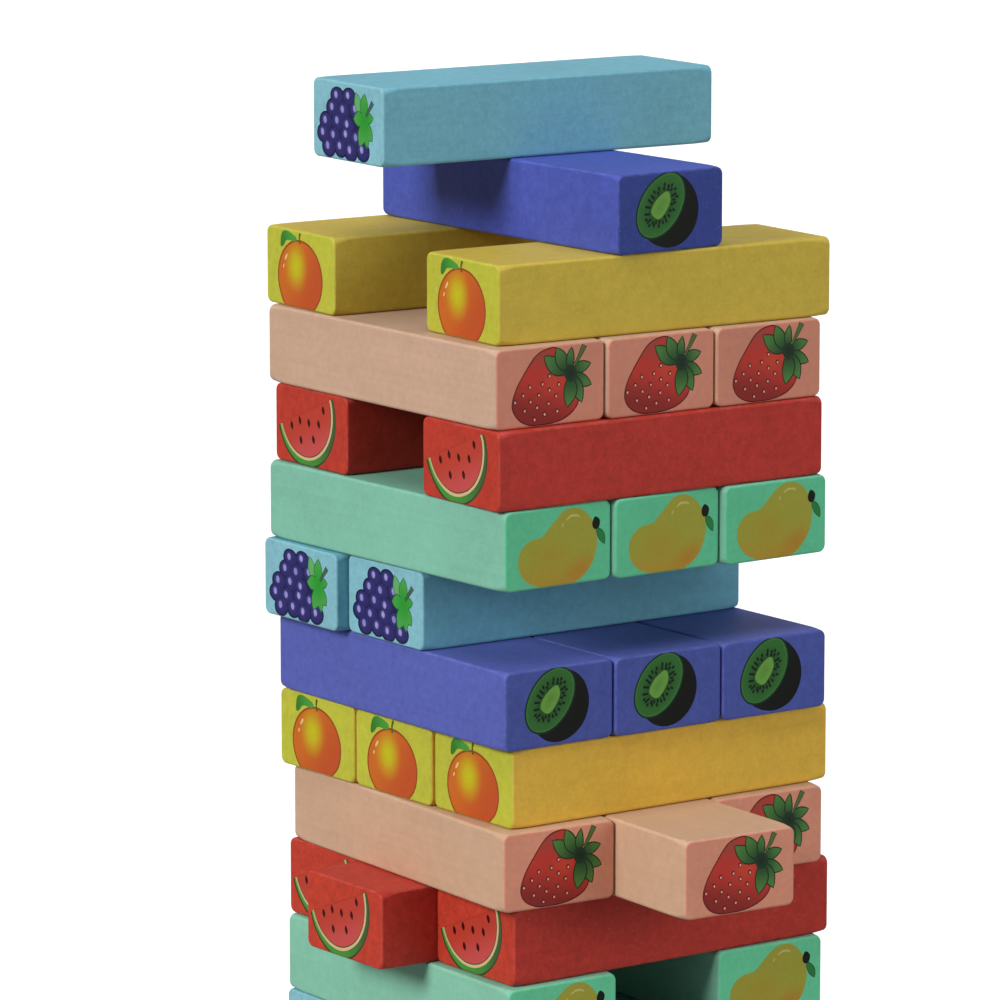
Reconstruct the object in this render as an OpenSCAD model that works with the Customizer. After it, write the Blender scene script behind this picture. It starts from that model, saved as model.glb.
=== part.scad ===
// Giant tumbling tower: a lawn game of painted wooden blocks.
// Every level holds three blocks side by side and lies across the one below.
// The tower stands as it does in the middle of a game: some blocks have been
// drawn out, two are half out, and two single blocks lie on top.
// Millimetres, +Z up, origin at the middle of the tower's foot.

/* [Blocks] */
// Length of a block: three blocks side by side are as wide as one is long
block_length = 150; // [75:1:190]
// Height of a level
level_height = 30; // [15:1:38]
// Free play between two blocks that lie side by side
side_play = 0.5; // [0.2:0.1:1]
// How much thinner a block is than its level, so that it can be drawn out
level_play = 0.05; // [0.02:0.01:0.3]
// Radius of the four long edges
long_edge_radius = 1.2; // [0.5:0.1:5]
// Radius of the edges round each end
end_edge_radius = 1; // [0.5:0.1:4]

/* [Tower] */
// How loosely the levels are stacked: 0 is true, 1 is as played
looseness = 1; // [0:0.1:1]

/* [Hidden] */
place_pitch = block_length / 3;
block_width = place_pitch - side_play;
block_height = level_height - level_play;
scale_of_play = looseness * block_length / 150;
curve_steps = 32;

// One paint to a level, in this order from the bottom up, over and over.
colours = ["green", "red", "pink", "yellow", "blue", "light_blue"];
paints = [
    [0.47, 0.72, 0.62],
    [0.68, 0.25, 0.20],
    [0.80, 0.60, 0.49],
    [0.72, 0.67, 0.27],
    [0.33, 0.35, 0.66],
    [0.45, 0.67, 0.73],
];

// How each level was laid, from the bottom up: its turn about the upright axis
// in degrees, its shift sideways in mm, and how far each of its three blocks
// stands off its seat along its own length in mm. A block that is gone was
// drawn out earlier in the game.
gone = undef;
stack = [
    [ 0.50,  0.0, [   0,  1.0, -1.0]],
    [-0.75,  1.0, [ 1.0, -0.5,  2.0]],
    [ 1.00, -1.5, [-1.5,  0.5,  1.0]],
    [-0.25,  1.0, [ 2.0,  1.0, -2.0]],
    [ 0.75,  0.5, [ 1.0, -1.0,  0.5]],
    [-0.50, -1.0, [ 0.0,  2.0,  1.5]],
    [-0.50,  1.0, [-2.5, gone,  1.0]],
    [ 0.75,  1.5, [ 4.0,  -21,  5.0]],
    [-2.50,  0.5, [-6.5,  -52,  0.0]],
    [ 1.00,  2.0, [ 3.0,  2.0,  1.5]],
    [ 0.25, -0.5, [ 0.0, -1.0, -1.5]],
    [ 0.25,  1.0, [gone, -1.5, -6.5]],
    [ 1.75, -3.0, [ 1.5, -0.5, -3.5]],
    [-0.25, -1.0, [-2.5, gone, -2.5]],
    [ 0.25, -3.0, [ 2.5,  1.0,  0.0]],
    [-2.25,  5.5, [ 6.0, gone, -3.0]],
    [ 1.25,  3.0, [gone,  5.0, gone]],
    [-2.00,   20, [gone, -3.5, gone]],
];

// Blocks of an even level lie along X and those of an odd level along Y.
function lies_along_x(level) = level % 2 == 0;
function place_names(level) =
    lies_along_x(level) ? ["front", "middle", "back"] : ["left", "middle", "right"];
function colour_number(level) = (level - 1) % len(colours);
function turn(level) = looseness * stack[level - 1][0];
function sideways(level, place) = scale_of_play * stack[level - 1][1] + (place - 1) * place_pitch;
function off_seat(level, place) = scale_of_play * stack[level - 1][2][place];
function is_there(level, place) = !is_undef(stack[level - 1][2][place]);
function two_digits(level) = str(level < 10 ? "0" : "", level);
function block_name(level, place) =
    str("level_", two_digits(level), "_", colours[colour_number(level)], "_", place_names(level)[place]);

// The outline of one side of a block, its corners rounded with a quarter circle.
module rounded_outline(long, short, radius) {
    square([long, short - 2 * radius], center = true);
    square([long - 2 * radius, short], center = true);
    for (x = [-1, 1], y = [-1, 1])
        translate([x * (long / 2 - radius), y * (short / 2 - radius)])
            circle(r = radius, $fn = curve_steps);
}

// One block along X about its own middle. Its four long edges are run over
// with a larger cutter than the edges round its ends, and the three outlines
// that this leaves, seen along X, Z and Y, cross in the block.
module block_solid() {
    intersection() {
        rotate([90, 0, 90])
            linear_extrude(block_length, center = true)
                rounded_outline(block_width, block_height, long_edge_radius);
        linear_extrude(block_height, center = true)
            rounded_outline(block_length, block_width, end_edge_radius);
        rotate([90, 0, 0])
            linear_extrude(block_width, center = true)
                rounded_outline(block_length, block_height, end_edge_radius);
    }
}

// One block in its place: a level turns as a whole about the tower's middle,
// so its blocks stay side by side and never cut into each other.
module block(level, place) {
    across = sideways(level, place);
    along = off_seat(level, place);
    color(paints[colour_number(level)])
        rotate([0, 0, turn(level)])
            translate([0, 0, (level - 1) * level_height + block_height / 2])
                if (lies_along_x(level))
                    translate([along, across, 0]) block_solid();
                else
                    translate([across, along, 0]) rotate([0, 0, 90]) block_solid();
}

for (level = [1 : len(stack)], place = [0 : 2])
    if (is_there(level, place))
        block(level, place);
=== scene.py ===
# %% [markdown]
# # A giant tumbling tower in paint and print
#
# The real object is a stack of loose wooden blocks. Each one is planed, its edges are run over
# with a cutter, it is sprayed with satin paint, and a fruit is printed on both of its ends.
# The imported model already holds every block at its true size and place. This lesson dresses
# each block: a finer mesh, a painted surface with the small faults of real paint, and a print
# that is part of the mesh, so that its lines stay sharp from any distance.

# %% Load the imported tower
import math
import bpy
import numpy as np
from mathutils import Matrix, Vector
from mathutils.geometry import delaunay_2d_cdt


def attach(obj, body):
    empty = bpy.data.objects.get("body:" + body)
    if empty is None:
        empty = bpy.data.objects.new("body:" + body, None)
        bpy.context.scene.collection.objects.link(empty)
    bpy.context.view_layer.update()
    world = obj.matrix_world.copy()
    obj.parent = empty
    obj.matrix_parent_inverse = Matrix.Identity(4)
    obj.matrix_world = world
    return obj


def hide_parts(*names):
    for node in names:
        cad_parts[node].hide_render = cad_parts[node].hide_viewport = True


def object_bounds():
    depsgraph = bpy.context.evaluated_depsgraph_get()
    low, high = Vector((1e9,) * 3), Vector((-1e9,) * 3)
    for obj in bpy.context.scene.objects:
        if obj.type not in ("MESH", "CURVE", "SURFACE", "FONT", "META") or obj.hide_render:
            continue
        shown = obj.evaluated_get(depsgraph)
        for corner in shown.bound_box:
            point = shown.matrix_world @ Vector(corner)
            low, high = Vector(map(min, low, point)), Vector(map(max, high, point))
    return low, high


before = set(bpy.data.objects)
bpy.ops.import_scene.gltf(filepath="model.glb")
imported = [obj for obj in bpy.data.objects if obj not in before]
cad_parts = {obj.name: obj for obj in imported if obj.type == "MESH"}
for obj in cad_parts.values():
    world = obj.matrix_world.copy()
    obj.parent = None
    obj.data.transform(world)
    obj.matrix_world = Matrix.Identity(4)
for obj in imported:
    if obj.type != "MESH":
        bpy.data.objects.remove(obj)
cad_box = [list(corner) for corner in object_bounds()]
tower_top = cad_box[1][2]
mm = 0.001
print(len(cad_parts), "blocks, tower", round(tower_top / mm), "mm tall")

# %% [markdown]
# ## The camera
#
# A long lens from over two metres away keeps the edges of the blocks nearly parallel, as in a
# catalogue picture. It looks down a little, so that every level shows a strip of its top. The
# camera is placed by where it aims, the direction it looks in and how far back it stands,
# which is easier to adjust than a bare position.

# %% Place the camera
camera_turn = math.radians(35.38)
camera_dip = math.radians(9.87)
camera_distance = 2.398
camera_lens = 225.4
aim_height = 0.3766
aim_sideways = -0.0194


def make_camera():
    """A camera that stands camera_distance back from its aim, against its own line of sight."""
    sight = Vector((math.sin(camera_turn) * math.cos(camera_dip),
                    math.cos(camera_turn) * math.cos(camera_dip),
                    -math.sin(camera_dip)))
    sideways = Vector((math.cos(camera_turn), -math.sin(camera_turn), 0))
    aim = sideways * aim_sideways + Vector((0, 0, aim_height))
    camera = bpy.data.objects.new("camera", bpy.data.cameras.new("camera"))
    camera.data.lens = camera_lens
    camera.data.sensor_width = 36
    camera.location = aim - sight * camera_distance
    camera.rotation_euler = sight.to_track_quat("-Z", "Y").to_euler()
    bpy.context.scene.collection.objects.link(camera)
    bpy.context.scene.camera = camera
    return camera


camera = make_camera()
print("camera at", [round(c, 3) for c in camera.location])

# %% [markdown]
# ## Reading each block from the solids
#
# A block lies a little askew, so its box doesn't say which way it points. Its widest upright
# face does: that face's normal is the direction across the block. Everything else follows from
# it, so no place is typed in twice, and a changed stack is dressed just as well.

# %% Measure the blocks


def mesh_values(items, name, width):
    """One property of every vertex or face, as an array with a row each."""
    values = np.zeros(len(items) * width)
    items.foreach_get(name, values)
    return values.reshape(-1, width)


def read_block(node):
    """A block's middle, its three directions as rows (along, left, up), and its size in metres.
    Left is the widest upright face's normal, and along is left turned back by a right angle."""
    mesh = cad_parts[node].data
    normals = mesh_values(mesh.polygons, "normal", 3)
    areas = mesh_values(mesh.polygons, "area", 1)[:, 0]
    upright = np.abs(normals[:, 2]) < 0.01
    left = normals[np.argmax(areas * upright)]
    along = np.cross(left, (0, 0, 1))
    along /= np.linalg.norm(along)
    if along[0] + along[1] < 0:
        along = -along
    axes = np.array([along, np.cross((0, 0, 1), along), (0, 0, 1)])
    corners = mesh_values(mesh.vertices, "co", 3) @ axes.T
    low, high = corners.min(0), corners.max(0)
    return (low + high) / 2 @ axes, axes, high - low


blocks = {node: read_block(node) for node in sorted(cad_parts)}
block_size = np.round(np.mean([size for _, _, size in blocks.values()], axis=0), 6)
print("a block is", (block_size / mm).round(2), "mm")

# %% [markdown]
# ## The rounded outline
#
# Seen from its end, a block is a rectangle with quarter-circle corners. One function gives
# that outline as a ring of points, and the same ring, drawn inwards, carries on over the
# rounded rim of the end. The points on the straight stretches crowd towards the corners. This
# keeps the shading of a flat face flat right up to where it starts to curve.
#
# Along its length an edge is only eased, but a block is sanded by hand, and that takes more
# off its eight corners. So the radius of the outline's corners grows over the last stretch
# before each end.

# %% Points round a block's outline
paint_gap = 0.03 * mm
length, width, height = block_size - 2 * paint_gap
long_edge_radius = 1.2 * mm
end_edge_radius = 1.0 * mm
end_corner_radius = 2.9 * mm
sanded_reach = 9 * mm
straight = length / 2 - end_edge_radius
corner_steps = 6
flat_steps = (8, 12)


def crowded(steps):
    """Shares from 0 to 1 that crowd at both ends: half of one minus the cosine of a half turn."""
    return (1 - np.cos(np.pi * np.arange(steps + 1) / steps)) / 2


def corner_radius_at(x):
    """The outline's corner radius at x, and how fast it grows: the edge's own radius plus the
    difference times t^2, where t runs from 0 to 1 over the sanded reach."""
    t = np.clip(1 - (straight - abs(x)) / sanded_reach, 0, 1)
    growth = end_corner_radius - long_edge_radius
    slope = growth * 2 * t / sanded_reach if abs(x) < straight else 0.0
    return long_edge_radius + growth * t * t, slope


def outline(inset, corner):
    """The ring of points (y, z), anticlockwise, that lies inset inside the block's outline.
    A corner's points are its centre plus (radius - inset) times (cosine, sine) of their angle.
    Also gives the ring's outward directions."""
    radius = corner - inset
    reach = np.array([width, height]) / 2 - corner
    ring, outward = [], []
    for quarter, side in enumerate([(1, 1), (-1, 1), (-1, -1), (1, -1)]):
        angle = (quarter + np.arange(corner_steps + 1) / corner_steps) * np.pi / 2
        turned_to = np.stack([np.cos(angle), np.sin(angle)], 1)
        arc = turned_to * radius + reach * side
        following = reach * [(-1, 1), (-1, -1), (1, -1), (1, 1)][quarter]
        start, end = arc[-1], following + radius * turned_to[-1]
        share = crowded(flat_steps[1 - quarter % 2])[1:-1, None]
        ring += [arc, start + (end - start) * share]
        outward += [turned_to, np.repeat(turned_to[-1:], len(share), axis=0)]
    return np.concatenate(ring), np.concatenate(outward)


end_ring = outline(0, end_corner_radius)[0]
ring_points = len(end_ring)
print(ring_points, "points round a block")

# %% [markdown]
# ## Drawing with inks
#
# The fruits are screen-printed: a few flat or softly blended inks, each with a crisp edge. So a
# print is a list of patches, laid one over the other. A patch has an outline, in millimetres
# from the lower left corner of the block's end, and an ink, which is a function that gives a
# colour at any point. Smooth outlines are splines through a few given points, and round
# things are ellipses.

# %% Outlines


def colour(red, green, blue):
    """A colour written 0 to 255 as on a screen, as the linear values that a shader mixes."""
    share = np.array([red, green, blue]) / 255
    return np.where(share <= 0.04045, share / 12.92, ((share + 0.055) / 1.055) ** 2.4)


def turned(points, degrees, middle):
    """Points turned about the origin and then moved to middle."""
    c, s = math.cos(math.radians(degrees)), math.sin(math.radians(degrees))
    return points @ np.array([[c, s], [-s, c]]) + middle


def ellipse(middle, reach, degrees=0, steps=36):
    """Points at middle plus (reach_u cos a, reach_v sin a), turned by degrees."""
    angle = np.arange(steps) / steps * 2 * np.pi
    ring = np.stack([reach[0] * np.cos(angle), reach[1] * np.sin(angle)], 1)
    return turned(ring, degrees, middle)


def spline(points, steps=6):
    """A closed Catmull-Rom curve: between two points it is half the sum of twice the first,
    (next - last) t, (2 last - 5 first + 4 next - after) t^2 and
    (3 first - last - 3 next + after) t^3."""
    first = np.array(points, float)[:, None]
    last, following, after = (np.roll(first, k, axis=0) for k in (1, -1, -2))
    t = (np.arange(steps) / steps)[None, :, None]
    curve = 0.5 * (2 * first + (following - last) * t
                   + (2 * last - 5 * first + 4 * following - after) * t ** 2
                   + (3 * first - last - 3 * following + after) * t ** 3)
    return curve.reshape(-1, 2)


def shrunk(ring, amount):
    """A ring moved inwards by amount, each point along the normal of its two neighbours' chord."""
    chord = np.roll(ring, -1, axis=0) - np.roll(ring, 1, axis=0)
    normal = np.stack([-chord[:, 1], chord[:, 0]], 1)
    normal /= np.linalg.norm(normal, axis=1)[:, None] + 1e-9
    return ring + normal * amount


def leaf(base, tip, half_width, bend=0.0, steps=9):
    """A pointed leaf: a midline from base to tip, bowed sideways by bend times sin(pi t), and on
    either side of it half_width times sin(pi t) to the power 0.8."""
    base, tip = np.array(base, float), np.array(tip, float)
    line = tip - base
    side = np.array([-line[1], line[0]]) / np.linalg.norm(line)
    t = np.arange(steps + 1) / steps
    wave = np.sin(np.pi * t)[:, None]
    middle = base + line * t[:, None] + side * bend * wave
    half = side * half_width * np.abs(wave) ** 0.8
    return np.concatenate([middle - half, (middle + half)[-2:0:-1]])


def ribbon(path, widths):
    """A stroke along a path, as wide at each of its points as widths says, and cut square."""
    path = np.array(path, float)
    run = np.gradient(path, axis=0)
    side = np.stack([-run[:, 1], run[:, 0]], 1) / np.linalg.norm(run, axis=1)[:, None]
    half = side * np.array(widths, float)[:, None] / 2
    return np.concatenate([path - half, (path + half)[::-1]])


# %% Inks


def flat(ink):
    """One colour everywhere."""
    return lambda spots: np.broadcast_to(ink, (len(spots), 3))


def eased(share):
    """A share clipped to 0 and 1, with a soft start and end: 3 t^2 - 2 t^3."""
    t = np.clip(share, 0, 1)
    return t * t * (3 - 2 * t)


def tinted(base, tint, middle, reach, degrees=0):
    """The ink base with a soft elliptical spot of tint: all tint at the middle, and none at the
    distances reach from it, measured along the spot's own two directions."""
    def at(spots):
        own = turned(spots - np.array(middle, float), -degrees, (0, 0)) / reach
        share = eased(1 - np.linalg.norm(own, axis=1))[:, None]
        ground = base(spots)
        return ground + (tint - ground) * share
    return at


def wash(lower, upper, start, end):
    """A straight blend from lower, at the point start, to upper, at the point end."""
    def at(spots):
        line = np.array(end, float) - start
        share = (spots - np.array(start, float)) @ line / (line @ line)
        return lower + (upper - lower) * eased(share)[:, None]
    return at


def outlined(rings, edge_ink, fill_ink, line=0.5):
    """Patches for rings that touch: all of them in the edge's ink, and then, on top, each one
    shrunk by the line, so that the line runs round the whole and not between them."""
    return [(ring, flat(edge_ink)) for ring in rings] + [(shrunk(ring, line), fill_ink) for ring in rings]


print("a test leaf has", len(leaf((0, 0), (5, 0), 1)), "points")

# %% [markdown]
# ## The six fruits
#
# Each colour of block has a fruit of its own, and all of them lean to the right and fill the
# end nearly from edge to edge. The drawings are plain children's-game fruits: a dark line
# round them, one soft blend for roundness and a few highlights.

# %% Grapes, for the light blue blocks


def grapes():
    """Rows of round berries that lie loosely over each other, with a broad lobed leaf and a
    short stem at the right."""
    berries = []
    for row, (middle, count, v) in enumerate(((21.7, 2, 23.8), (22.6, 3, 19.0), (17.8, 3, 13.8),
                                              (19.8, 4, 9.0), (23.5, 4, 4.3))):
        for i in range(count):
            nudge = math.sin(3.1 * row + 2.3 * i)
            berries.append((middle + (i - (count - 1) / 2) * 7.9 + 0.5 * nudge, v + 0.5 * nudge))
    patches = [(ellipse(berry, (4.9, 3.8), steps=28), flat(colour(22, 22, 62))) for berry in berries]
    patches.append((ellipse((21.6, 13.8), (11.6, 9.4), steps=24), flat(colour(28, 27, 72))))
    for u, v in berries:
        skin = tinted(flat(colour(42, 38, 98)), colour(58, 54, 122), (u - 0.9, v + 0.7), (4, 3))
        patches.append((ellipse((u, v), (4.2, 3.15), steps=24), flat(colour(34, 32, 84))))
        patches.append((ellipse((u + 0.1, v + 0.1), (3.9, 2.9), steps=24), skin))
    for u, v in berries:
        shine = tinted(flat(colour(124, 119, 184)), colour(178, 168, 216), (u - 0.9, v + 0.5), (1.5, 1.6))
        patches.append((ellipse((u - 0.9, v + 0.5), (1.2, 1.45), 16, steps=14), shine))
    pale = leaf((35.0, 17.0), (30.8, 26.6), 2.6, 0.4, steps=8)
    patches += outlined([pale], colour(46, 104, 66), flat(colour(96, 168, 100)), 0.35)
    heart = (37.0, 16.2)
    lobes = [leaf(heart, tip, half, bend, steps=8) for tip, half, bend in (
        ((37.0, 26.4), 2.9, 0.4), ((29.0, 16.2), 3.0, -0.3), ((33.2, 6.0), 3.2, 0.4),
        ((38.6, 5.6), 2.4, 0.3), ((42.4, 8.6), 2.8, -0.4), ((43.2, 17.6), 2.2, 0.3))]
    lobes.append(ellipse(heart, (3.4, 3.6), steps=18))
    green = tinted(flat(colour(72, 158, 72)), colour(38, 146, 40), heart, (9, 11))
    patches += outlined(lobes, colour(28, 92, 44), green, 0.35)
    stem = ribbon([(38.0, 17.8), (40.2, 20.4), (42.8, 23.4)], (1.2, 1.7, 2.3))
    return patches + outlined([stem], colour(32, 58, 48), flat(colour(66, 96, 76)), 0.3)


# %% Kiwi, for the blue blocks


def kiwi():
    """Half a kiwi that leans to the right: a round dark skin, and on it the cut face with a
    pale core and close rings of seeds."""
    lean = 50
    middle = np.array((20.2, 17.4))
    skin = wash(colour(6, 8, 5), colour(20, 25, 15), (36, 6), (14, 22))
    patches = outlined([ellipse((24.0, 15.2), (14.0, 13.9), steps=60)], colour(8, 13, 20), skin)
    patches.append((ellipse(middle, (14.0, 9.9), lean, steps=56), flat(colour(16, 46, 32))))
    rim = flat(colour(60, 122, 56))
    patches.append((ellipse(middle, (13.3, 9.2), lean, steps=56), rim))
    flesh = tinted(tinted(rim, colour(47, 103, 46), middle, (30, 21), lean),
                   colour(24, 62, 26), middle, (12.0, 8.6), lean)
    patches.append((ellipse(middle, (12.7, 8.6), lean, steps=56), flesh))
    core = spline(turned(np.array([(6.0, 1.0), (3.6, -2.6), (-2.6, -3.3), (-5.0, -1.5),
                                   (-4.4, 2.2), (0.8, 3.0)]), lean, middle))
    patches.append((core, tinted(flat(colour(110, 164, 70)), colour(94, 148, 58), middle, (6, 3), lean)))
    for row, (count, reach) in enumerate(((17, (7.2, 4.6)), (22, (8.6, 5.8)))):
        for k in range(count):
            angle = (k + 0.5 * row + 0.25 * math.sin(5 * k)) / count * 2 * math.pi
            away = 1 + 0.05 * math.sin(3 * k + 1)
            spot = away * np.array([[reach[0] * math.cos(angle), reach[1] * math.sin(angle)]])
            seed = ellipse(turned(spot, lean, middle)[0], (0.86, 0.52), lean + math.degrees(angle),
                           steps=9)
            patches.append((seed, flat(colour(9, 24, 11))))
    return patches


# %% Orange, for the yellow blocks


def orange():
    """A round orange with a yellow glow, its foot cut off by the block's lower edge."""
    middle = (24.3, 11.4)
    peel = wash(colour(186, 79, 34), colour(197, 102, 30), (33, 4), (16, 16))
    peel = tinted(peel, colour(190, 186, 24), (21.4, 15.8), (9.5, 11.5))
    patches = outlined([ellipse(middle, (16.4, 14.8), steps=72)], colour(146, 68, 28), peel, 0.8)
    for spot, reach, lean in (((14.2, 18.8), (0.55, 1.6), -36), ((12.3, 15.2), (0.4, 0.9), -20)):
        patches.append((ellipse(spot, reach, lean, steps=12), flat(colour(226, 190, 130))))
    foliage = spline([(10.6, 22.9), (10.9, 26.2), (12.8, 28.4), (16.2, 28.6), (21.6, 26.9),
                      (20.6, 25.7), (14.8, 25.6), (12.3, 23.4)])
    green = wash(colour(52, 120, 40), colour(70, 150, 56), (12, 24), (19, 28))
    patches += outlined([foliage], colour(40, 96, 36), green, 0.35)
    stem = ribbon([(24.5, 24.6), (24.1, 26.8), (24.9, 29.0)], (1.3, 1.0, 1.4))
    patches.append((stem, flat(colour(74, 92, 30))))
    return patches


# %% Strawberry, for the pink blocks


def strawberry():
    """A strawberry that hangs from its upper right: a smooth body, seeds in rings round its
    shoulder, and a spiky cap of pointed leaves."""
    body = spline([(24.4, 29.0), (19.0, 27.0), (13.6, 20.6), (9.2, 13.8), (7.6, 8.0), (9.8, 3.4),
                   (14.8, 0.8), (22.4, 0.4), (31.0, 1.8), (37.0, 5.4), (38.6, 11.2), (36.8, 19.0),
                   (31.6, 26.0), (28.0, 28.6)])
    flesh = wash(colour(140, 42, 38), colour(194, 58, 48), (17, 3), (21, 16))
    flesh = tinted(flesh, colour(166, 70, 60), (20, 26), (9, 7))
    flesh = tinted(flesh, colour(206, 70, 50), (27, 16), (7, 6))
    patches = outlined([body], colour(92, 26, 26), flesh, 0.5)
    for row, count in enumerate((2, 3, 4, 5, 5, 4)):
        for i in range(count):
            along = 8.0 + 4.1 * row
            across = (i - (count - 1) / 2) * 4.7 + 0.9 * math.sin(2.3 * row + i)
            u, v = np.array([32.0, 22.4]) + turned(np.array([(-along, across)]), 52, (0, 0))[0]
            if v > 2.4 and u + v > 15:
                patches.append((ellipse((u - 0.1, v + 0.1), (0.85, 0.95), steps=11),
                                flat(colour(104, 24, 24))))
                patches.append((ellipse((u + 0.05, v - 0.05), (0.42, 0.52), steps=8),
                                flat(colour(238, 176, 154))))
    heart = (34.2, 18.4)
    tips = ((21.8, 25.6, 3.4, 0.8), (27.4, 28.9, 3.0, 0.6), (34.4, 28.6, 2.0, 0.3),
            (43.6, 21.6, 2.4, 0.4), (44.0, 13.4, 2.6, -0.3), (39.6, 7.0, 2.8, 0.4),
            (32.8, 5.6, 3.2, 0.8))
    for u, v, half, bend in tips:
        green = wash(colour(28, 62, 36), colour(82, 134, 66), heart, (u, v))
        patches += outlined([leaf(heart, (u, v), half, bend)], colour(24, 40, 26), green, 0.45)
    stem = ribbon([(36.2, 21.4), (38.4, 24.8), (40.2, 28.6)], (1.2, 1.9, 2.6))
    patches += outlined([stem], colour(42, 62, 34), flat(colour(84, 112, 60)), 0.35)
    crown = tinted(flat(colour(32, 60, 38)), colour(24, 44, 30), heart, (3.4, 3.8))
    patches.append((ellipse(heart, (2.9, 3.3), 20, steps=20), crown))
    return patches


# %% Watermelon, for the red blocks


def watermelon():
    """Half a slice: a flat cut from tip to tip, and under it an arc of pale rind and a crescent
    of green, which is widest in the middle of the arc."""
    middle = np.array((21.1, 21.0))
    lean = 21.4
    angle = np.linspace(math.pi, 2 * math.pi, 41)
    swell = np.sin(angle - math.pi)

    def half_ring(reach):
        """The lower half of a circle, or of a shape as wide at each angle as reach says."""
        ring = np.stack([np.cos(angle), np.sin(angle)], 1) * np.reshape(reach, (-1, 1))
        return turned(ring, lean, middle)

    outer, green_in, cream_in = 19.2 + 1.9 * swell, 18.6 + 0.1 * swell, 17.5 + 0.1 * swell
    dark_rind = wash(colour(40, 60, 26), colour(62, 70, 36), (12, 2), (38, 18))
    patches = [(np.concatenate([half_ring(outer + 0.8), half_ring(cream_in - 0.6)[::-1]]), dark_rind)]
    flesh = wash(colour(192, 76, 74), colour(182, 60, 44), (26, 5), (21, 17))
    patches.append((half_ring(17.2), flesh))
    green = wash(colour(66, 140, 52), colour(64, 92, 50), (20, 1), (37, 14))
    patches.append((np.concatenate([half_ring(outer), half_ring(green_in)[::-1]]), green))
    cream = wash(colour(206, 178, 132), colour(182, 166, 112), (20, 4), (4, 14))
    patches.append((np.concatenate([half_ring(green_in), half_ring(cream_in)[::-1]]), cream))
    cut = turned(np.array([(-17.2, -0.1), (17.2, -0.1), (17.2, 0.1), (-17.2, 0.1)]), lean, middle)
    patches.append((cut, flat(colour(160, 46, 36))))
    for away, degrees in ((11.6, -168), (5.6, -158), (11.8, -128), (4.6, -84), (11.4, -84),
                          (9.6, -44), (12.2, -12)):
        spot = turned(away * np.array([[math.cos(math.radians(degrees)),
                                        math.sin(math.radians(degrees))]]), lean, middle)[0]
        drop = leaf(spot + (-0.5, 1.8), spot + (0.5, -1.7), 0.95, steps=8)
        patches.append((drop, flat(colour(54, 6, 6))))
    return patches


# %% Mango, for the green blocks


def mango():
    """A kidney-shaped mango, with a dip in its shoulder, a dark stem knob and one small leaf."""
    body = spline([(6.7, 9.6), (7.6, 14.6), (11.6, 17.8), (17.6, 19.0), (22.2, 23.0),
                   (28.0, 27.4), (34.6, 27.4), (39.8, 22.6), (41.8, 15.4), (39.6, 7.6),
                   (33.4, 1.9), (25.2, 0.9), (15.6, 1.6), (9.4, 4.6)])
    skin = wash(colour(178, 148, 50), colour(163, 160, 58), (26, 0), (25, 13))
    skin = tinted(skin, colour(170, 152, 50), (21, 12), (13, 8))
    skin = tinted(skin, colour(180, 134, 46), (34, 5), (11, 6), 30)
    patches = outlined([body], colour(160, 124, 42), skin, 0.8)
    patches.append((ribbon([(28.4, 24.6), (30.6, 25.9), (33.4, 25.8), (34.6, 25.0)],
                           (0.4, 0.9, 0.8, 0.3)), flat(colour(196, 190, 112))))
    patches.append((ellipse((26.6, 22.8), (0.5, 0.85), -35, steps=10), flat(colour(184, 178, 100))))
    patches += outlined([leaf((42.2, 20.4), (46.4, 13.4), 1.7, 0.3)], colour(22, 90, 46),
                        flat(colour(42, 128, 64)), 0.3)
    knob = spline([(40.4, 22.0), (41.8, 24.4), (44.0, 22.8), (43.4, 20.0), (41.2, 19.8)])
    patches.append((knob, flat(colour(11, 20, 8))))
    return patches


fruits = {"light_blue": grapes(), "blue": kiwi(), "yellow": orange(),
          "pink": strawberry(), "red": watermelon(), "green": mango()}
print({paint: len(patches) for paint, patches in fruits.items()}, "patches of ink")

# %% [markdown]
# ## The print is part of the end
#
# A picture could be an image wrapped over the end, or a thin film that floats above it. An
# image blurs when the camera comes close, and a film can flicker or come loose in a pose. Here
# the outlines of the drawing cut the end face itself into triangles, and every triangle is
# given the ink of the topmost patch that covers it. The end stays one closed surface, and an
# ink's edge is as sharp as the mesh.
#
# A constrained Delaunay triangulation does the cutting. It takes points and the edges that
# must appear, and fills in triangles between them.

# %% How deep a point lies inside the end
end_size = np.array([width, height]) / mm
corner_radius = end_corner_radius / mm
rim_radius = end_edge_radius / mm


def depth(spots):
    """Millimetres from a point of the end to its outline: the corner radius minus the distance
    to the smaller rectangle that the corners' centres make."""
    over = np.abs(spots - end_size / 2) - (end_size / 2 - corner_radius)
    away = np.linalg.norm(np.maximum(over, 0), axis=1) + np.minimum(over.max(axis=1), 0)
    return corner_radius - away


def inward(spots):
    """The direction in which the depth grows, from its differences over a small step."""
    step = 1e-3
    slope = np.stack([depth(spots + one) - depth(spots - one) for one in np.eye(2) * step], 1)
    return slope / (np.linalg.norm(slope, axis=1)[:, None] + 1e-12)


def kept_inside(ring, least):
    """A ring whose points are pushed inwards until they lie at least that deep."""
    return ring + inward(ring) * np.maximum(least - depth(ring), 0)[:, None]


def within(spots, ring):
    """True for a point inside a ring: a ray to its right crosses the ring an odd number of
    times."""
    u, v = spots[:, :1], spots[:, 1:]
    first, second = ring, np.roll(ring, -1, axis=0)
    rise = second[:, 1] - first[:, 1]
    crossing = first[:, 0] + (v - first[:, 1]) * (second[:, 0] - first[:, 0]) \
        / np.where(rise == 0, 1, rise)
    spans = (first[:, 1] > v) != (second[:, 1] > v)
    return (spans & (u < crossing)).sum(axis=1) % 2 == 1


print("the end's middle is", depth(end_size[None] / 2).round(2), "mm deep")

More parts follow.
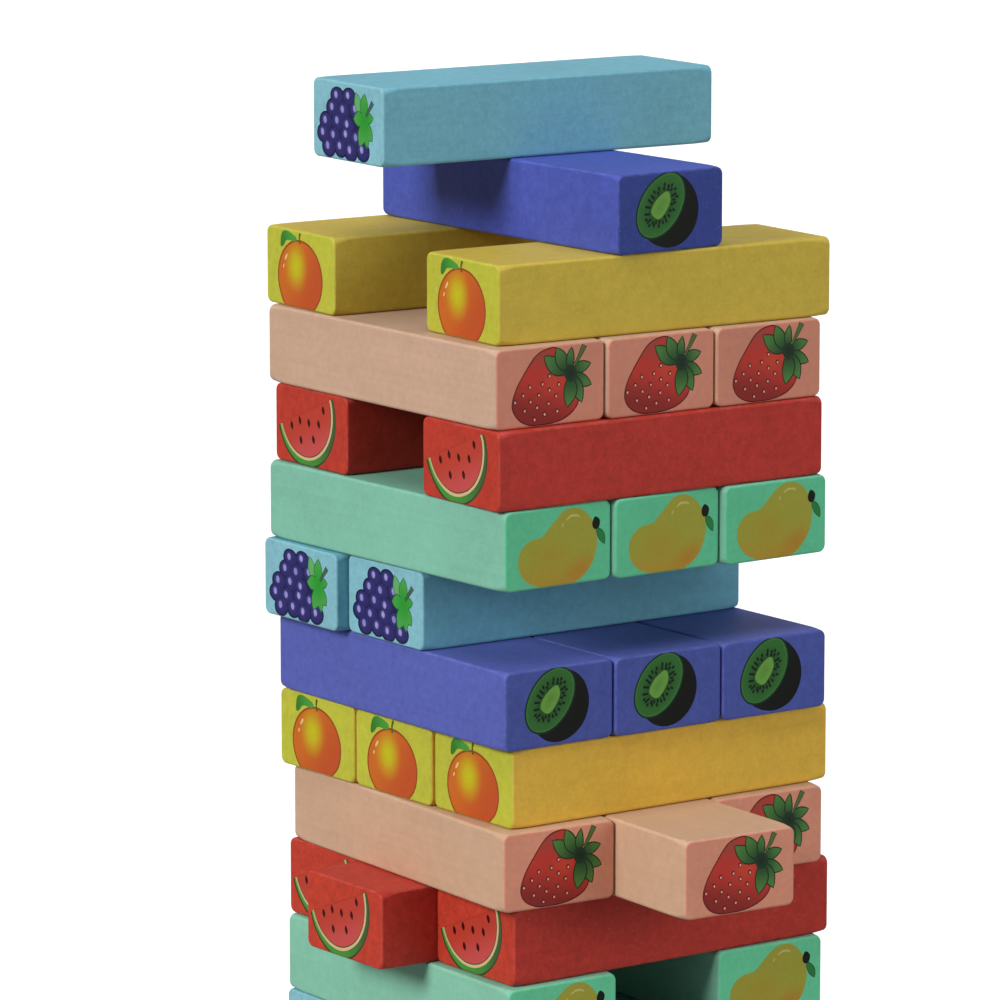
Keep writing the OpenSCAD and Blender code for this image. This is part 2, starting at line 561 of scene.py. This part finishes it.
# %% Cut the end along its drawing
rim_angles = np.radians([36, 18, 0])
inner_rim_cosines = (0.59, 0.31, 0.0)
flat_ring_gap = 0.35
grid_gap = 0.9
grid_step = 1.6
drawn_margin = 0.45
keep_the_inside, same_place = 1, 1e-5
grid_random = np.random.default_rng(18)


def ring_on_end(inset):
    """The end's ring at that inset, in the end's own millimetres."""
    return outline(inset * mm, end_corner_radius)[0] / mm + end_size / 2


def rim_loops():
    """Rings from where the belt stops, over the rest of the rim, to just inside it. Where the
    rim has turned by an angle, it lies inside the outline by its radius times (1 - cosine)."""
    cosines = (math.cos(rim_angles[0]), *inner_rim_cosines)
    insets = [rim_radius * (1 - cosine) for cosine in cosines]
    return [ring_on_end(inset) for inset in insets + [rim_radius + flat_ring_gap]]


def scattered_grid():
    """Points on a square grid over the flat of the end, each nudged within its own cell."""
    steps = (end_size / grid_step).astype(int)
    cells = np.stack(np.meshgrid(*[np.arange(n) for n in steps]), -1).reshape(-1, 2)
    spots = (cells + grid_random.uniform(0.2, 0.8, cells.shape)) * grid_step
    return spots[depth(spots) > rim_radius + grid_gap]


def closed_edges(rings):
    """The edges of each ring, as pairs of numbers that count through all the rings."""
    edges, first = [], 0
    for ring in rings:
        index = first + np.arange(len(ring))
        edges += zip(index.tolist(), np.roll(index, -1).tolist())
        first += len(ring)
    return edges


def cut_end(patches):
    """The end's points, its triangles, each triangle's patch (-1 for none), and the points that
    the outermost ring became."""
    drawn = [kept_inside(ring, drawn_margin) for ring, _ in patches]
    rings = rim_loops() + drawn
    spots = np.concatenate(rings + [scattered_grid()])
    places, _, faces, origins = delaunay_2d_cdt([Vector(spot) for spot in spots], closed_edges(rings),
                                                [], keep_the_inside, same_place, True)[:4]
    places, faces = np.array([tuple(place) for place in places]), np.array(faces)
    became = {origin: k for k, merged in enumerate(origins) for origin in merged}
    middles = places[faces].mean(axis=1)
    patch = np.full(len(faces), -1)
    for k, ring in enumerate(drawn):
        patch[within(middles, ring)] = k
    return {"places": places, "faces": faces, "patch": patch,
            "outermost": np.array([became[j] for j in range(ring_points)])}


cuts = {paint: cut_end(patches) for paint, patches in fruits.items()}
print({paint: len(cut["faces"]) for paint, cut in cuts.items()}, "triangles an end")

# %% [markdown]
# ## The body of a block
#
# Between the two ends the block is one belt: the outline carried along its length. The belt's
# rings crowd towards the ends, then turn over the first 36 degrees of the rounded rim, where the
# cut end takes over.
#
# The normals aren't left to the mesh. Each point is given the direction that the true rounded
# surface has there, so a flat face is shaded perfectly flat and the rim catches one clean line
# of light, however the triangles fall.

# %% The belt
belt_steps = 30


def belt():
    """Rings of points along the block, their normals, and their quads. A ring of the straight
    part lies at minus straight times cos(pi i / steps). On the rim a ring lies at straight
    plus the radius times sin(angle), inset by the radius times (1 - cos(angle)). Where the
    corner radius grows, the normal leans along the block by the growth times
    (|cos| + |sin| - 1)."""
    middle = -straight * np.cos(np.pi * np.arange(1, belt_steps) / belt_steps)
    places = np.concatenate([np.full(3, -straight), middle, np.full(3, straight)])
    turns = np.concatenate([-rim_angles, np.zeros(belt_steps - 1), rim_angles[::-1]])
    points, normals = [], []
    for x, turn in zip(places, turns):
        corner, slope = corner_radius_at(x)
        ring, outward = outline(end_edge_radius * (1 - math.cos(turn)), corner)
        x = x + end_edge_radius * math.sin(turn)
        points.append(np.column_stack([np.full(ring_points, x), ring]))
        lean = math.sin(turn) + np.sign(x) * slope * (np.abs(outward).sum(axis=1) - 1)
        normals.append(np.column_stack([lean, outward * math.cos(turn)]))
    rings = len(points)
    i, j = np.meshgrid(np.arange(rings - 1), np.arange(ring_points), indexing="ij")
    after = (j + 1) % ring_points
    quads = np.stack([i * ring_points + j, i * ring_points + after,
                      (i + 1) * ring_points + after, (i + 1) * ring_points + j], -1)
    normals = np.concatenate(normals)
    normals /= np.linalg.norm(normals, axis=1)[:, None]
    return np.concatenate(points), normals, quads.reshape(-1, 4), rings


belt_points, belt_normals, belt_quads, belt_rings = belt()
print(belt_rings, "rings,", len(belt_quads), "quads")

# %% [markdown]
# ## Both ends, and the map for the bake
#
# The drawing reads the right way round on both ends, so the far end is the near one turned
# half a turn about the upright axis. No two prints land on quite the same spot: each end's
# drawing is shifted by up to half a millimetre and turned by up to a degree, and the shift
# fades out towards the rim, so that the rim itself stays true.
#
# The block also gets a map of its own for baking. A plain unwrapping would give the long sides
# most of the picture and leave the drawings blurred. Here the two ends take nearly a third.

# %% Finish a block's surface
most_shift = 0.45
most_turn = 0.017
fade_reach = 4
end_share = 0.30
map_margin = 0.006


def end_surface(cut, side, shift, spin):
    """Points, normals and the plane coordinates of one end. side is 1 or -1 along the block.
    A point lies at straight plus the square root of r^2 - (r - depth)^2."""
    places = cut["places"]
    fade = eased((depth(places) - rim_radius) / fade_reach)[:, None]
    about = places - end_size / 2
    places = places + fade * (shift + spin * np.stack([-about[:, 1], about[:, 0]], 1))
    short = np.clip(rim_radius - depth(places), 0, rim_radius) / rim_radius
    x = straight + end_edge_radius * np.sqrt(1 - short ** 2)
    flat_places = (places - end_size / 2) * mm
    points = np.column_stack([side * x, side * flat_places[:, 0], flat_places[:, 1]])
    lean = -inward(places) * short[:, None]
    normals = np.column_stack([side * np.sqrt(1 - short ** 2), side * lean[:, 0], lean[:, 1]])
    return points, normals, places / end_size


def belt_map(loops):
    """Each belt corner's place on the bake's map: across by its ring, up by its way round."""
    run = np.linalg.norm(np.roll(end_ring, -1, axis=0) - end_ring, axis=1)
    way = np.concatenate([[0], np.cumsum(run)]) / run.sum()
    steps = np.linalg.norm(np.diff(belt_points[::ring_points], axis=0), axis=1)
    reach = np.concatenate([[0], np.cumsum(steps)]) / steps.sum()
    around = loops % ring_points
    around[:, 1:3] = np.where(around[:, 1:3] == 0, ring_points, around[:, 1:3])
    room = 1 - end_share - 2 * map_margin
    return np.stack([map_margin + reach[loops // ring_points] * (1 - 2 * map_margin),
                     map_margin + way[around] * room], -1)


def end_map(places, number):
    """An end's place on the bake's map: side by side in the upper part."""
    scale = np.array([0.5 - 2 * map_margin, end_share - 2 * map_margin])
    return places * scale + [number * 0.5 + map_margin, 1 - end_share + map_margin]


def end_inks(cut, patches):
    """For each corner of the end's triangles: 1 under ink and 0 on the ground, and the ink."""
    patch = np.repeat(cut["patch"], 3)
    spots = cut["places"][cut["faces"]].reshape(-1, 2)
    shade = np.zeros((len(spots), 3))
    for k in np.unique(patch[patch >= 0]):
        shade[patch == k] = patches[k][1](spots[patch == k])
    return (patch >= 0).astype(float), shade


def block_surface(paint, random):
    """Everything that a block's mesh needs, with the block's middle at the origin. An end shares
    its outermost ring with the belt: the far end has the belt's last ring, point for point, and
    the near end its first, matched by place, because that end is turned half a turn."""
    cut = cuts[paint]
    last_ring = (belt_rings - 1) * ring_points + np.arange(ring_points)
    first_ring = np.linalg.norm(end_ring * (-1, 1) - end_ring[:, None], axis=2).argmin(axis=0)
    points, normals, faces = [belt_points], [belt_normals], belt_quads.tolist()
    maps, count = [belt_map(belt_quads).reshape(-1, 2)], len(belt_points)
    for number, (side, shared) in enumerate(((1, last_ring), (-1, first_ring))):
        shift = random.uniform(-most_shift, most_shift, 2)
        spin = random.uniform(-most_turn, most_turn)
        spots, leans, places = end_surface(cut, side, shift, spin)
        own = np.ones(len(spots), bool)
        own[cut["outermost"]] = False
        number_of = np.zeros(len(spots), int)
        number_of[cut["outermost"]] = shared
        number_of[own] = count + np.arange(own.sum())
        count += own.sum()
        points.append(spots[own])
        normals.append(leans[own])
        faces += number_of[cut["faces"]].tolist()
        maps.append(end_map(places[cut["faces"]], number).reshape(-1, 2))
    ink, shade = end_inks(cut, fruits[paint])
    bare = belt_quads.size
    return {"points": np.concatenate(points), "normals": np.concatenate(normals),
            "faces": faces, "map": np.concatenate(maps),
            "ink": np.concatenate([np.zeros(bare), ink, ink]),
            "print_colour": np.concatenate([np.zeros((bare, 3)), shade, shade])}


sample = block_surface("pink", np.random.default_rng(1))
print(len(sample["points"]), "points,", len(sample["faces"]), "faces in a pink block")

# %% [markdown]
# ## Marks that the paint reads
#
# The paint's material needs to know three things that a flat colour can't tell it: where the
# end is, because the end is given a colour of its own, where the edges are, because they wear
# first, and how the wood runs. They are stored in the mesh as attributes.
# The grain's coordinates also carry a random offset for each block, so no two blocks share
# their speckles, and the heart of the log that a block was cut from lies somewhere else.
#
# The levels were painted at different times, and no two mixes of a colour agree. So every level
# may have a tint of its own, for its sides and for its ends, and each block differs from its
# neighbours by another per cent or two. The level tints also hold painted shade and light: level
# 17 is darkened all over for the shadow that block 18 casts on its side, level 12 for the shade
# under level 13's overhang, level 9's ends are lightened against the shadow of the drawn-out
# middle block, and level 10 is warmed as if by bounce light.

# %% The tints of the levels
no_tint = (1.0, 1.0, 1.0)
# Partly painted shade and light: some levels are darkened for the shadows that fall on them, and level
# 9's ends are lightened against one.
level_tints_with_painted_shade = {
    17: ((0.76, 0.87, 1.11), (0.55, 0.58, 0.84)),
    16: ((0.97, 0.99, 0.94), no_tint),
    15: (no_tint, (0.95, 0.92, 0.93)),
    12: ((0.87, 0.91, 0.93), no_tint),
    11: ((1.04, 1.07, 1.09), (0.96, 0.88, 1.07)),
    10: ((1.23, 1.06, 0.97), no_tint),
    9: ((1.01, 0.97, 0.91), (1.04, 1.04, 1.03)),
    8: (no_tint, (1.05, 1.10, 1.05)),
    7: ((1.03, 1.03, 1.00), (1.13, 1.07, 1.07)),
}
block_tint_spread = 0.015


def block_tint_with_painted_shade(node, end_ground, random):
    """The paint's tint at each point: the level's side tint, turning into its end tint with the
    end's ground, times the block's own factor. Some levels' tints are painted shade and light."""
    level = int(node.split("_")[1])
    side, end = (np.array(tint) for tint in level_tints_with_painted_shade.get(level, (no_tint, no_tint)))
    own = 1 + random.uniform(-block_tint_spread, block_tint_spread)
    return own * (side + (end - side) * end_ground[:, None])


print(len(level_tints_with_painted_shade), "levels have a tint of their own")

# %% Make a block's mesh
ground_start, ground_reach = 0.45, 0.25
heart_reach = (1.0, 0.06, 0.06)


def marks(points, normals, random):
    """For each point: 1 on the end's face and 0 on the sides, 1 on an edge and 0 on a face, and
    the grain's coordinates, in metres from the heart of the log. A face's normal has one part of
    nearly 1, and an edge's has none, so the edge is (1 - largest part) / (1 - 1 / sqrt(2)), at
    most 1. The end's face starts where the normal's part along the block is ground_start."""
    edge = np.clip((1 - np.abs(normals).max(axis=1)) / (1 - math.sqrt(0.5)), 0, 1)
    end_ground = eased((np.abs(normals[:, 0]) - ground_start) / ground_reach)
    heart_wood = random.uniform(-1, 1, 3) * heart_reach
    return end_ground, edge, points + heart_wood


def store(mesh, name, kind, domain, values):
    """Adds an attribute and fills it."""
    layer = mesh.attributes.new(name, kind, domain)
    field = "vector" if kind == "FLOAT_VECTOR" else "value"
    layer.data.foreach_set(field, np.ascontiguousarray(values, np.float32).ravel())


def block_mesh(node, paint, random):
    """The dressed mesh of one block, in its true place."""
    surface = block_surface(paint, random)
    middle, axes, _ = blocks[node]
    end_ground, edge, grain = marks(surface["points"], surface["normals"], random)
    mesh = bpy.data.meshes.new("painted_" + node)
    mesh.from_pydata((middle + surface["points"] @ axes).tolist(), [], surface["faces"])
    mesh.polygons.foreach_set("use_smooth", np.ones(len(mesh.polygons), bool))
    mesh.normals_split_custom_set_from_vertices((surface["normals"] @ axes).tolist())
    uv = mesh.uv_layers.new(name="OFBake")
    uv.data.foreach_set("uv", surface["map"].ravel())
    store(mesh, "print_colour", "FLOAT_VECTOR", "CORNER", surface["print_colour"])
    store(mesh, "ink", "FLOAT", "CORNER", surface["ink"])
    store(mesh, "end_ground", "FLOAT", "POINT", end_ground)
    store(mesh, "edge", "FLOAT", "POINT", edge)
    store(mesh, "grain", "FLOAT_VECTOR", "POINT", grain)
    # The tint holds painted shade and light for some levels, as well as their mix.
    store(mesh, "tint", "FLOAT_VECTOR", "POINT", block_tint_with_painted_shade(node, end_ground, random))
    return mesh


trial = block_mesh("level_15_pink_left", "pink", np.random.default_rng(2))
print("validated without changes:", not trial.validate())
bpy.data.meshes.remove(trial)

# %% [markdown]
# ## Satin paint on planed wood
#
# Painted wood is never one colour. The paint is a little thicker here and thinner there, the
# fibres below show as faint streaks along the block, specks of dust dry into the film, and the
# edges rub pale. Each of these is a noise with its own scale, and each moves the colour by a
# few per cent only. Deep paints cover less evenly than pale ones, which hold more white. The
# end and the sides have a colour each, and the print's ink is laid over the end.
#
# The noises aren't painted by hand, because a picture of scratches and specks repeats and has
# seams. A noise is worked out at every point of the block, so the marks run over its edges as
# they would on the real one.

# %% Helpers for shaders


def add(tree, kind, inputs=None, **settings):
    """A shader node. inputs gives a number, or another node's output, for each named input."""
    made = tree.nodes.new("ShaderNode" + kind)
    for name, value in settings.items():
        setattr(made, name, value)
    for name, value in (inputs or {}).items():
        if isinstance(value, bpy.types.NodeSocket):
            tree.links.new(value, made.inputs[name])
        else:
            made.inputs[name].default_value = value
    return made


def calculate(tree, operation, first, second, third=0.0):
    """The result of a Math node."""
    made = add(tree, "Math", {0: first, 1: second, 2: third}, operation=operation)
    return made.outputs["Value"]


def blended(tree, share, first, second):
    """Two colours mixed: share 0 is the first, and 1 is the second."""
    made = add(tree, "Mix", {"Factor": share}, data_type="RGBA")
    for socket, value in ((made.inputs[6], first), (made.inputs[7], second)):
        if isinstance(value, bpy.types.NodeSocket):
            tree.links.new(value, socket)
        else:
            socket.default_value = value
    return made.outputs[2]


def speckle(tree, where, scale, detail=3.0, low=0.3, high=0.7):
    """A noise spread so that it runs from 0 to 1. scale is in cells per metre."""
    noise = add(tree, "TexNoise", {"Vector": where, "Scale": scale, "Detail": detail,
                                   "Roughness": 0.6})
    spread = add(tree, "MapRange", {"Value": noise.outputs["Fac"], "From Min": low,
                                    "From Max": high})
    return spread.outputs["Result"]


# %% Mix the paints
# For each paint: its colour on the sides, its colour on the ends, and how unevenly it covers.
paint_colours = {
    "light_blue": ((112, 175, 193), (128, 182, 194), 1.2),
    "blue": ((84, 92, 166), (74, 92, 158), 1.5),
    "yellow": ((206, 178, 70), (184, 184, 59), 1.0),
    "pink": ((196, 161, 136), (213, 143, 118), 0.6),
    "red": ((182, 54, 44), (180, 56, 40), 2.0),
    "green": ((126, 186, 162), (96, 197, 150), 0.65),
}
unmarked_level = 0.923
edge_wear, nib_strength = 0.12, 0.16
satin_roughness, satin_gloss = 0.42, 0.16
bump_height = 0.12 * mm


def opaque(shade):
    """A colour with its fourth number, which says that nothing shines through."""
    return (*[float(one) for one in shade], 1.0)


def paler(shade, kept, white):
    """A paint as it looks where it is rubbed or dusty: a share of its colour, and white added."""
    return opaque(colour(*shade) * kept + white)


def weighted(tree, start, parts):
    """A number plus each mark times its weight."""
    for mark, weight in parts:
        start = calculate(tree, "MULTIPLY_ADD", mark, weight, start)
    return start


def scaled(tree, shade, level):
    """A colour times a number."""
    made = add(tree, "VectorMath", {"Vector": shade, "Scale": level}, operation="SCALE")
    return made.outputs["Vector"]


def paint_noise(tree):
    """The paint's marks as noises that run from 0 to 1. The fibres' coordinates are squeezed
    along the block, so what is drawn on them comes out long."""
    grain = add(tree, "Attribute", attribute_name="grain").outputs["Vector"]
    fibres = add(tree, "Mapping", {"Vector": grain, "Scale": (0.05, 1.0, 1.0)}).outputs["Vector"]
    rings = add(tree, "TexWave", {"Vector": fibres, "Scale": 95.0, "Distortion": 5.0, "Detail": 2.0,
                                  "Detail Scale": 0.25}, wave_type="RINGS", rings_direction="X",
                wave_profile="SAW")
    return {"broad": speckle(tree, grain, 26.0), "clouds": speckle(tree, grain, 260.0),
            "specks": speckle(tree, grain, 620.0), "streaks": speckle(tree, fibres, 330.0),
            "rings": rings.outputs["Fac"], "nibs": speckle(tree, grain, 900.0, 1.0, 0.70, 0.78),
            "rub": speckle(tree, grain, 210.0, 2.0, 0.38, 0.62)}


def bare_paint(tree, noise, side, end, unevenness):
    """The paint before it is printed on: its colour and the block's tint, times a level that the
    marks move about 1, then paler at worn edges and on the nibs. For some levels the tint is
    painted shade and light."""
    end_ground = add(tree, "Attribute", attribute_name="end_ground").outputs["Fac"]
    tint = add(tree, "Attribute", attribute_name="tint").outputs["Vector"]
    edge = add(tree, "Attribute", attribute_name="edge").outputs["Fac"]
    paint = blended(tree, end_ground, opaque(colour(*side)), opaque(colour(*end)))
    # The tint multiplies in the level's painted shade and light along with its mix.
    tinted_and_shaded_paint = add(tree, "VectorMath", {0: paint, 1: tint}, operation="MULTIPLY")
    in_clouds, in_specks = 0.12 * unevenness, 0.10 * unevenness
    level = weighted(tree, unmarked_level - (in_clouds + in_specks) / 2, (
        (noise["broad"], 0.10), (noise["clouds"], in_clouds), (noise["specks"], in_specks),
        (noise["streaks"], 0.04), (noise["rings"], 0.025)))
    mottled = scaled(tree, tinted_and_shaded_paint.outputs["Vector"], level)
    worn_share = calculate(tree, "MULTIPLY", edge, calculate(tree, "MULTIPLY", noise["rub"], edge_wear))
    worn = blended(tree, worn_share, mottled, paler(side, 0.55, 0.42))
    nib_share = calculate(tree, "MULTIPLY", noise["nibs"], nib_strength)
    return blended(tree, nib_share, worn, paler(side, 0.6, 0.35))


def paint_material(name, side, end, unevenness):
    """Satin paint, with the print's ink over it where the mesh says that there is ink."""
    material = bpy.data.materials.new(name)
    material.use_nodes = True
    tree = material.node_tree
    tree.nodes.clear()
    noise = paint_noise(tree)
    ink = add(tree, "Attribute", attribute_name="ink").outputs["Fac"]
    print_colour = add(tree, "Attribute", attribute_name="print_colour").outputs["Vector"]
    inked = scaled(tree, print_colour, weighted(tree, 0.96, ((noise["specks"], 0.06),)))
    finish = blended(tree, ink, bare_paint(tree, noise, side, end, unevenness), inked)
    rough = weighted(tree, satin_roughness, ((noise["specks"], 0.10), (ink, -0.05)))
    rise = weighted(tree, 0.0, ((noise["specks"], 0.4), (noise["streaks"], 0.35),
                                (noise["rings"], 0.2), (noise["nibs"], 0.5)))
    bump = add(tree, "Bump", {"Strength": 0.35, "Distance": bump_height, "Height": rise})
    satin = add(tree, "BsdfPrincipled", {"Base Color": finish, "Roughness": rough,
                                         "Normal": bump.outputs["Normal"],
                                         "Specular IOR Level": satin_gloss})
    output = add(tree, "OutputMaterial")
    tree.links.new(satin.outputs["BSDF"], output.inputs["Surface"])
    return material


paints = {paint: paint_material(paint + "_satin", *shades)
          for paint, shades in paint_colours.items()}
print(list(paints))

# %% [markdown]
# ## Dress every block
#
# Each painted block replaces its plain solid and rides on the same body, so that it slides when
# the solid would. Its colour is read from the solid's name, and its random marks are seeded by
# its number, so that every run gives the same tower.

# %% Put the painted blocks in place
for number, block_name in enumerate(blocks):
    paint = block_name.split("_", 2)[2].rsplit("_", 1)[0]
    mesh = block_mesh(block_name, paint, np.random.default_rng(100 + number))
    mesh.materials.append(paints[paint])
    piece = bpy.data.objects.new("painted_" + block_name, mesh)
    bpy.context.scene.collection.objects.link(piece)
    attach(piece, block_name)
    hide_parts(block_name)
print(number + 1, "painted blocks")

# %% [markdown]
# ## Floor and light
#
# Four broad suns do the lighting: one on the left for the ends and sides, a weak one on the
# right, one overhead for the tops, and one behind, which hardly touches what the camera sees
# but keeps the back from going dull. That one casts no glint, because it would skim over the
# tops towards the camera. A sun is as bright at the top of the tower as at its foot, and lights
# a wide floor evenly. A faint plain world fills in what they leave.
#
# The floor is white to the camera and keeps the tower's shadow, but it throws less light back
# up than such a white floor would. This keeps the undersides and the gaps dark.

# %% Floor
floor_reach = 12.0
floor_seen, floor_felt = 0.80, 0.32
floor_glow = 0.34
bpy.ops.mesh.primitive_circle_add(vertices=96, radius=floor_reach, fill_type="NGON")
floor = bpy.context.object
floor.name = "floor"
floor_paint = bpy.data.materials.new("pale_floor")
floor_paint.use_nodes = True
tree = floor_paint.node_tree
tree.nodes.clear()
seen = add(tree, "LightPath").outputs["Is Camera Ray"]
matt = add(tree, "BsdfDiffuse", {"Color": blended(tree, seen, (floor_felt,) * 3 + (1,),
                                                  (floor_seen,) * 3 + (1,))})
lit = add(tree, "Emission", {"Strength": calculate(tree, "MULTIPLY", seen, floor_glow)})
both = add(tree, "AddShader", {0: matt.outputs["BSDF"], 1: lit.outputs["Emission"]})
tree.links.new(both.outputs["Shader"], add(tree, "OutputMaterial").inputs["Surface"])
floor.data.materials.append(floor_paint)

# %% Lights and world
world_level, world_glint = 0.11, 0.15


def soft_sun(name, toward, level, softness):
    """A sun in the direction toward. A white face square to it renders at that level, and the
    softness of its shadows is its width in degrees."""
    lamp = bpy.data.objects.new(name, bpy.data.lights.new(name, "SUN"))
    lamp.data.energy = level * math.pi
    lamp.data.angle = math.radians(softness)
    lamp.rotation_euler = Vector(toward).to_track_quat("Z", "Y").to_euler()
    bpy.context.scene.collection.objects.link(lamp)
    return lamp


soft_sun("light_from_the_left", (-1.0, -0.05, 0.52), 0.83, 22)
soft_sun("light_from_the_right", (0.45, -1.0, 0.25), 0.33, 36)
soft_sun("light_from_above", (-0.10, -0.20, 1.0), 0.38, 50)
behind = soft_sun("light_from_behind", (0.85, 0.80, 0.20), 0.45, 50)
behind.visible_glossy = False

world = bpy.data.worlds.new("studio")
bpy.context.scene.world = world
world.use_nodes = True
tree = world.node_tree
tree.nodes.clear()
ray = add(tree, "LightPath")
seen = calculate(tree, "MAXIMUM", ray.outputs["Is Camera Ray"], ray.outputs["Is Transmission Ray"])
level = add(tree, "MapRange", {"Value": seen, "To Min": world_level, "To Max": 1.0}).outputs["Result"]
level = weighted(tree, level, ((ray.outputs["Is Glossy Ray"], world_glint),))
sky = add(tree, "Background", {"Color": (1, 1, 1, 1), "Strength": level})
tree.links.new(sky.outputs["Background"], add(tree, "OutputWorld").inputs["Surface"])
bpy.context.scene.view_settings.view_transform = "Standard"
print("four suns and a plain world")
